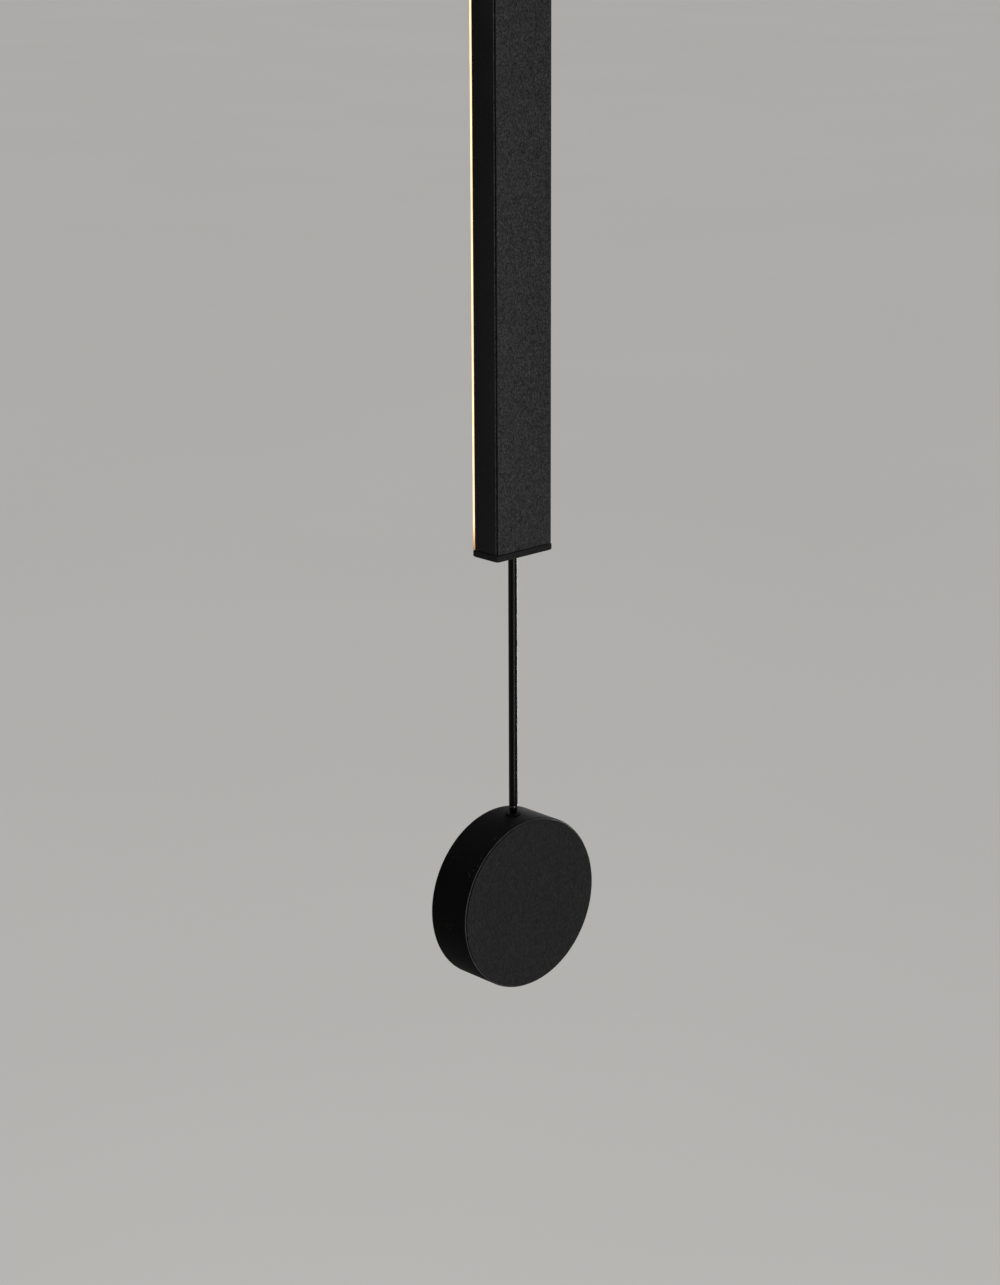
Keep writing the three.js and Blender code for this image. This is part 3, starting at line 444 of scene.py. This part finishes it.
def countersink(place, towards, wide, bore, deep, through):
    """A cutter for a countersunk hole: `wide` at the surface, the bore's size from the depth `deep` on."""
    above = 0.4 * MM
    top = wide + above * (wide - bore) / deep
    profile = [(0, above), (top, above), (bore, -deep), (bore, -through), (0, -through)]
    return lathe("sink", profile, place, towards, COAT, 48)


def softened(node, material, width):
    """A piece with the CAD node's shape, with its flat faces made whole and its edges rounded."""
    bm = bmesh.new()
    bm.from_mesh(frame["nodes"][node].data)
    bmesh.ops.remove_doubles(bm, verts=bm.verts, dist=WELD)
    bmesh.ops.dissolve_limit(bm, angle_limit=FLAT, verts=bm.verts, edges=bm.edges)
    edges = [e for e in bm.edges if len(e.link_faces) == 2 and e.calc_face_angle() > SHARP]
    bmesh.ops.bevel(
        bm, geom=edges, offset=width, offset_type="OFFSET", segments=3, profile=0.5,
        affect="EDGES", clamp_overlap=True,
    )
    return stands_for(new_object(node + "_skin", bm, material), node)


def faced(piece, material, limit=0.8):
    """Gives a second material to the faces that look into the room. A lower limit takes in slanted ones."""
    piece.data.materials.append(material)
    last = len(piece.data.materials) - 1
    for face in piece.data.polygons:
        if -face.normal.y > limit:
            face.material_index = last
    return piece


BODY_OF = {n: body for body, nodes in frame["record"]["behaviour"]["bodies"].items() for n in nodes}


def stands_for(piece, node):
    """The piece takes the CAD node's place and body, and the node is hidden."""
    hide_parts(node)
    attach(piece, BODY_OF[node])
    return piece


def dressed(node, material, width=0.15 * MM):
    """Keeps a CAD node, with fine rounded edges and a better material."""
    kept = frame["nodes"][node]
    kept.data.materials.clear()
    kept.data.materials.append(material)
    weld = kept.modifiers.new("weld", "WELD")
    weld.merge_threshold = WELD
    flat = kept.modifiers.new("flat", "DECIMATE")
    flat.decimate_type, flat.angle_limit = "DISSOLVE", FLAT
    edge = kept.modifiers.new("edge", "BEVEL")
    edge.width, edge.segments, edge.limit_method, edge.angle_limit = width, 2, "ANGLE", math.radians(35)
    edge.use_clamp_overlap = True
    kept.modifiers.new("normals", "WEIGHTED_NORMAL").keep_sharp = True
    return kept


# ---------------------------------------------------------------- the bar
def end_cap(node, outward):
    """An end cap with a rounded outer edge. Its upright corners open from tight to wide round that edge."""
    low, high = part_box(node)
    centre = (low + high) / 2
    half_x, half_y = (high.x - low.x) / 2, (high.y - low.y) / 2
    face, inner = (low.z, high.z) if outward < 0 else (high.z, low.z)
    radius, tight, wide = 1.0 * MM, 0.45 * MM, 2.4 * MM
    steps = 10
    rings = []
    for i in range(steps + 1):
        turn = math.pi / 2 * i / steps
        inset = radius * (1 - math.sin(turn))
        corner = tight + (wide - tight) * (1 - math.sin(turn)) ** 1.2
        height = face - outward * radius * (1 - math.cos(turn))
        outline = rounded_outline(half_x - inset, half_y - inset, corner)
        rings.append([(centre.x + x, centre.y + y, height) for x, y in outline])
    small = 0.15 * MM
    for inset, back in ((0.0, small), (small, 0.0)):
        outline = rounded_outline(half_x - inset, half_y - inset, tight)
        rings.append([(centre.x + x, centre.y + y, inner + outward * back) for x, y in outline])
    cap = stacked(node + "_skin", rings, COAT)
    prefix = node.replace("_end_cap", "_cap_screw")
    cutters = []
    for side in ("left", "right"):
        screw_low, screw_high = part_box(f"{prefix}_{side}")
        at = (screw_low + screw_high) / 2
        head = (screw_high.x - screw_low.x) / 2
        place = (at.x, at.y, face)
        sink, bore, deep, through = head + 0.35 * MM, 1.6 * MM, 1.9 * MM, 6 * MM
        cutters.append(countersink(place, Z * outward, sink, bore, deep, through))
    if outward < 0:
        cutters.append(slot_cutter())
    return stands_for(faced(carved(cap, *cutters), CAP_FACE), node)


def slot_cutter():
    """The slotted hole that the rod's bush sits in, a little larger than the bush's body."""
    flange_low, flange_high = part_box("rod_guide_bush")
    centre = (flange_low + flange_high) / 2
    overhang_x, overhang_y, beyond = 0.8 * MM, 0.6 * MM, 2 * MM
    half_x = (flange_high.x - flange_low.x) / 2 - overhang_x
    half_y = (flange_high.y - flange_low.y) / 2 - overhang_y
    outline = rounded_outline(half_x, half_y, half_y * 0.999, 16)
    heights = (CAP_LOW.z - beyond, CAP_HIGH.z + beyond)
    return stacked("slot", [[(centre.x + x, centre.y + y, z) for x, y in outline] for z in heights], COAT)


def build_bar():
    faced(softened("bar_profile", COAT, 0.12 * MM), FACE)
    faced(softened("front_cover", COAT, 0.22 * MM), FACE)
    softened("rear_diffuser", OPAL, 0.25 * MM)
    end_cap("bottom_end_cap", -1)
    end_cap("top_end_cap", 1)
    softened("rod_guide_bush", NYLON, 0.15 * MM)
    led_board()
    for node in ("pivot_bracket", "pivot_pin"):
        dressed(node, ZINC)
    dressed("pivot_pin_clip", ZINC, 0.05 * MM)


def led_board():
    """The board, with each LED's block given a raised frame and a sunken lens of phosphor."""
    board = softened("led_board", MASK, 0.08 * MM)
    bm = bmesh.new()
    bm.from_mesh(board.data)
    smallest, largest = 1.5 * MM * MM, 30 * MM * MM
    tops = [f for f in bm.faces if f.normal.y > 0.95 and smallest < f.calc_area() < largest]
    border, slant, sunk = 0.3 * MM, 0.12 * MM, 0.15 * MM
    for top in tops:
        bmesh.ops.inset_individual(bm, faces=[top], thickness=border, depth=0)
        bmesh.ops.inset_individual(bm, faces=[top], thickness=slant, depth=-sunk)
        top.material_index = 1
    bm.to_mesh(board.data)
    bm.free()
    board.data.materials.append(LED_LENS)


# ---------------------------------------------------------------- the pendulum
def build_pendulum():
    bob_rim()
    bob_face()
    bob_back()
    rod()
    rod_tip()
    bob_bush()
    dressed("rod_eye", BRASS)
    dressed("bob_core", IRON, 0.5 * MM)


def bob_rim():
    """A turned drum: rounded outer edges, a flange behind the face and a ledge in front of the back plate."""
    front, back = RIM_LOW.y - BOB_CENTRE.y, RIM_HIGH.y - BOB_CENTRE.y
    wall, flange, plate = 1.2 * MM, 2.8 * MM, 2.0 * MM
    outer, inner = BOB_RADIUS, BOB_RADIUS - wall
    edge = 0.45 * MM
    profile = [(inner - flange, front)]
    profile += arc(outer - edge, front + edge, edge, -90, 0, 6)
    profile += arc(outer - edge, back - edge, edge, 0, 90, 6)
    profile += arc(inner + 0.15 * MM, back - 0.15 * MM, 0.15 * MM, 90, 180, 3)
    ledge = back - plate
    profile += [(inner, ledge), (inner - flange, ledge)]
    profile += [(inner - flange, ledge - wall), (inner, ledge - wall)]
    profile += [(inner, front + wall), (inner - flange, front + wall)]
    # The drum's side takes the rim coat, darkened as painted shade.
    drum = lathe("bob_rim_skin", profile, BOB_CENTRE, Y, RIM_SHADE_COAT, 256)
    hole, depth = 3.5 * MM, 5 * MM
    top = BOB_CENTRE + Z * BOB_RADIUS
    outline = [(0, -depth), (hole, -depth), (hole, -0.3 * MM), (hole + 0.5 * MM, 0.4 * MM), (0, 0.4 * MM)]
    # The drum's faces that look into the room, its front lip, take the painted highlight coat: a bright line
    # standing in for light on the edge.
    drum = faced(carved(drum, lathe("entry", outline, top, Z, RIM_SHADE_COAT, 64)), LIP_HIGHLIGHT_COAT)
    return stands_for(drum, "bob_rim")


def bob_face():
    """The front plate, with a round edge and a fine crease where it meets the drum."""
    low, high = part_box("bob_face")
    thickness, radius = high.y - low.y, (high.x - low.x) / 2
    edge = 0.85 * MM
    profile = [(0, thickness)]
    profile += [(radius * i / 6, thickness) for i in range(1, 6)]
    profile += arc(radius - edge, thickness - edge, edge, 90, 0, 8)
    profile += arc(radius - 0.15 * MM, 0.15 * MM, 0.15 * MM, 0, -90, 3)
    profile += [(0, 0)]
    centre = Vector((BOB_CENTRE.x, high.y, BOB_CENTRE.z))
    # The plate's rounded edge and back keep the rim coat with its painted shade; its front takes the face
    # coat.
    plate = lathe("bob_face_skin", profile, centre, -Y, RIM_SHADE_COAT, 256)
    return stands_for(faced(plate, BOB_FACE, 0.1), "bob_face")


def bob_back():
    """The back plate, with three countersunk holes."""
    low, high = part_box("bob_back")
    thickness, radius = high.y - low.y, (high.x - low.x) / 2
    edge = 0.3 * MM
    profile = [(0, 0), (radius, 0)] + arc(radius - edge, thickness - edge, edge, 0, 90, 5) + [(0, thickness)]
    plate = lathe("bob_back_skin", profile, (BOB_CENTRE.x, low.y, BOB_CENTRE.z), Y, COAT, 256)
    cutters = []
    for i in (1, 2, 3):
        screw_low, screw_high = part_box(f"bob_back_screw_{i}")
        at = (screw_low + screw_high) / 2
        head = (screw_high.x - screw_low.x) / 2
        place = (at.x, high.y, at.z)
        sink, bore, deep, through = head + 0.3 * MM, 1.8 * MM, 1.3 * MM, 3 * MM
        cutters.append(countersink(place, Y, sink, bore, deep, through))
    return stands_for(carved(plate, *cutters), "bob_back")


def rod():
    """The rod, with a bore at each end for its tip and its eye."""
    length = ROD_HIGH.z - ROD_LOW.z
    edge, bore_top, bore_low = 0.25 * MM, 1.7 * MM, 1.5 * MM
    profile = [(bore_low, 7 * MM), (bore_low, 0)] + arc(ROD_RADIUS - edge, edge, edge, -90, 0, 4)
    steps = 12
    profile += [(ROD_RADIUS, edge + (length - 2 * edge) * i / steps) for i in range(1, steps)]
    profile += arc(ROD_RADIUS - edge, length - edge, edge, 0, 90, 4)
    profile += [(bore_top, length), (bore_top, length - 8 * MM), (0, length - 8 * MM)]
    profile = [(0, 7 * MM)] + profile
    foot = Vector((middle("pendulum_rod").x, middle("pendulum_rod").y, ROD_LOW.z))
    stands_for(lathe("pendulum_rod_skin", profile, foot, Z, ROD, 64), "pendulum_rod")


def rod_tip():
    """The rod's ferrule: wide below the rod, and curving in to the stud that enters the bob."""
    tip_low, tip_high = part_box("rod_tip")
    bob_top = RIM_HIGH.z
    stud, neck = 1.5 * MM, 1.2 * MM
    shoulder = tip_high.z - 6 * MM
    taper = shoulder - bob_top
    profile = [(0, tip_low.z), (stud - 0.3 * MM, tip_low.z), (stud, tip_low.z + 0.3 * MM), (stud, bob_top)]
    profile += [
        (stud + (ROD_RADIUS - stud) * math.sin(math.pi / 2 * i / 10), bob_top + taper * (0.1 + 0.85 * i / 10))
        for i in range(11)
    ]
    profile += arc(ROD_RADIUS - 0.2 * MM, shoulder - 0.2 * MM, 0.2 * MM, 0, 90, 3)
    profile += [(neck, shoulder), (neck, tip_high.z), (0, tip_high.z)]
    under_rod = Vector((middle("pendulum_rod").x, middle("pendulum_rod").y, 0))
    stands_for(lathe("rod_tip_skin", profile, under_rod, Z, TIP, 64), "rod_tip")


def bob_bush():
    """The bush in the drum's hole: a sleeve with a round-edged flange."""
    bush_low, bush_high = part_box("bob_bush")
    flange, sleeve, bore = (bush_high.x - bush_low.x) / 2, 3.2 * MM, 1.8 * MM
    height, seat = bush_high.z - bush_low.z, 1.9 * MM
    profile = [(bore, 0), (sleeve, 0), (sleeve, seat), (flange - 0.1 * MM, seat), (flange, seat + 0.1 * MM)]
    profile += arc(flange - 0.4 * MM, height - 0.4 * MM, 0.4 * MM, 0, 90, 5)
    profile += [(bore + 0.3 * MM, height), (bore, height - 0.3 * MM)]
    seat_centre = Vector((middle("pendulum_rod").x, middle("pendulum_rod").y, bush_low.z))
    stands_for(lathe("bob_bush_skin", profile, seat_centre, Z, BUSH, 64), "bob_bush")


# ---------------------------------------------------------------- screws
def screw(node, towards, countersunk):
    """A machine screw with a cross recess and a thread of fine rings. `towards` points out of its head."""
    low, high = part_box(node)
    centre = (low + high) / 2
    size = high - low
    axis = max(range(3), key=lambda k: abs(towards[k]))
    length = size[axis]
    across = [size[k] for k in range(3) if k != axis]
    head = max(across) / 2
    shank = head * (0.45 if countersunk else 0.5)
    head_height = head * 0.58
    top = centre + towards * (length / 2)
    if countersunk:
        profile = [(0, 0), (head - 0.1 * MM, 0), (head, -0.1 * MM), (shank, -head_height)]
    else:
        turns = [math.radians(a) for a in range(0, 61, 10)]
        crown = [(head * math.sin(a), head * 0.32 * (math.cos(a) - 1)) for a in turns]
        profile = crown + [(head, -head * 0.3), (head, -head_height), (shank, -head_height)]
    pitch = 0.5 * MM
    at = head_height + pitch
    while at < length - 2 * pitch:
        profile += [(shank, -at), (shank * 0.84, -at - pitch / 2)]
        at += pitch
    profile += [(shank * 0.8, -length + pitch), (shank * 0.4, -length), (0, -length)]
    made = lathe(node + "_skin", profile, top, towards, SCREW, 32)
    wide, long, deep = head * 0.17, head * 0.62, head_height * 0.6
    return stands_for(carved(made, recess(top, towards, wide, long, deep)), node)


def recess(top, towards, wide, long, deep):
    """A cutter for a cross recess, tapering inwards."""
    quarter = [(long, -wide), (long, wide), (wide, wide)]
    outline = []
    for _ in range(4):
        outline += quarter
        quarter = [(-y, x) for x, y in quarter]
    turn = Matrix.Translation(top) @ basis(towards)
    ends = ((0.55, -deep), (1.0, 1 * MM))
    rings = [[turn @ Vector((x * narrow, y * narrow, z)) for x, y in outline] for narrow, z in ends]
    return stacked("recess", rings, SCREW)


def build_screws():
    for side in ("left", "right"):
        screw(f"bottom_cap_screw_{side}", -Z, True)
        screw(f"top_cap_screw_{side}", Z, True)
    for place in ("lower", "upper"):
        screw(f"pivot_bracket_screw_{place}", -Y, False)
        screw(f"mount_screw_{place}", Y, False)
        screw(f"driver_screw_{place}", Y, False)
    for i in (1, 2, 3):
        screw(f"bob_back_screw_{i}", Y, True)
    screw("terminal_block_screw", Y, False)
    screw("canopy_screw_top", Z, False)
    screw("canopy_screw_bottom", -Z, False)


# ---------------------------------------------------------------- the wall mount
def build_wall_mount():
    softened("canopy", COAT, 0.4 * MM)
    softened("wall_plate", ZINC, 0.2 * MM)
    dressed("led_driver", DRIVER, 0.6 * MM)
    dressed("terminal_block", TERMINAL, 0.3 * MM)
    softened("supply_cable_bush", RUBBER, 0.3 * MM)
    softened("led_lead_grommet", RUBBER, 0.3 * MM)
    for place in ("lower", "upper"):
        dressed(f"mount_spacer_{place}", ZINC)
        dressed(f"mount_nut_{place}", ZINC)
    for node, material in WIRES.items():
        wire = dressed(node, material, 0.05 * MM)
        wire.modifiers.remove(wire.modifiers["edge"])
        round_off = wire.modifiers.new("round", "SUBSURF")
        round_off.levels = round_off.render_levels = 2


# ---------------------------------------------------------------- camera, light and floor
CAMERA = {
    "azimuth": -43.3,
    "elevation": 16.78,
    "roll": -0.25,
    "distance": 1.5483,
    "right": -0.00715,
    "up": -0.0491,
    "lens": 78.7,
}


def build_camera():
    """The camera looks past the middle of the bar's underside, a little above the picture's middle."""
    a, e, r = (math.radians(CAMERA[k]) for k in ("azimuth", "elevation", "roll"))
    back = Vector((math.sin(a) * math.cos(e), -math.cos(a) * math.cos(e), math.sin(e)))
    level = Z.cross(back).normalized()
    upright = back.cross(level)
    right = level * math.cos(r) + upright * math.sin(r)
    up = upright * math.cos(r) - level * math.sin(r)
    target = Vector((middle("bottom_end_cap").x, middle("bottom_end_cap").y, CAP_LOW.z))
    place = target + level * CAMERA["right"] + upright * CAMERA["up"] + back * CAMERA["distance"]
    data = bpy.data.cameras.new("camera")
    data.lens, data.sensor_width = CAMERA["lens"], 36.0
    camera = bpy.data.objects.new("camera", data)
    camera.matrix_world = Matrix.Translation(place) @ Matrix((right, up, back)).transposed().to_4x4()
    bpy.context.scene.collection.objects.link(camera)
    bpy.context.scene.camera = camera


def area_light(name, place, target, size, power, spread):
    """A soft box that faces its target. The spread is in degrees."""
    data = bpy.data.lights.new(name, "AREA")
    data.shape, data.size, data.size_y = "RECTANGLE", size[0], size[1]
    data.energy, data.spread = power, math.radians(spread)
    lamp = bpy.data.objects.new(name, data)
    lamp.location = place
    lamp.rotation_mode = "QUATERNION"
    lamp.rotation_quaternion = (Vector(place) - Vector(target)).to_track_quat("Z", "Y")
    bpy.context.scene.collection.objects.link(lamp)


def around(centre, azimuth, elevation, distance):
    """A place at a distance from a centre. Azimuth 0 is straight in front, and 90 is to the right."""
    a, e = math.radians(azimuth), math.radians(elevation)
    return centre + distance * Vector((math.sin(a) * math.cos(e), -math.cos(a) * math.cos(e), math.sin(e)))


def build_studio():
    """A soft box in front, a wide soft sun above for the floor, and a weak strip for the right edges."""
    scene = bpy.context.scene
    scene.view_settings.view_transform = "Standard"
    world = bpy.data.worlds.new("studio")
    world.use_nodes = True
    world.node_tree.nodes["Background"].inputs["Color"].default_value = (1.0, 0.99, 0.975, 1.0)
    world.node_tree.nodes["Background"].inputs["Strength"].default_value = 0.10
    scene.world = world
    aim = Vector((BOB_CENTRE.x, BOB_CENTRE.y, CAP_LOW.z))
    area_light("key", around(aim, -10, 2, 1.9), aim, (0.35, 2.2), 17, spread=115)
    area_light("edge", around(aim, 118, 2, 1.4), aim, (0.3, 1.4), 3, spread=60)
    sun_data = bpy.data.lights.new("sun", "SUN")
    sun_data.energy, sun_data.angle = 1.8, math.radians(50)
    sun = bpy.data.objects.new("sun", sun_data)
    behind = Matrix.Rotation(math.radians(CAMERA["azimuth"]), 3, "Z") @ Vector((0, 0.25, 1))
    sun.rotation_mode = "QUATERNION"
    sun.rotation_quaternion = behind.to_track_quat("Z", "Y")
    scene.collection.objects.link(sun)

    floor_gap, half = 0.85, 25.0
    level = RIM_LOW.z - floor_gap
    bm = bmesh.new()
    bmesh.ops.create_grid(bm, x_segments=8, y_segments=8, size=half)
    bm.transform(Matrix.Translation((0, 0, level)))
    n = Nodes("pale_floor")
    soft = n.noise(0.9, 2.0)
    color = n.blend(soft, (0.625, 0.615, 0.595, 1.0), (0.65, 0.64, 0.62, 1.0))
    floor = new_object("floor", bm, n.surface(color, 0.9, Specular_IOR_Level=0.1))


build_camera()
build_bar()
build_pendulum()
build_screws()
build_wall_mount()
build_studio()
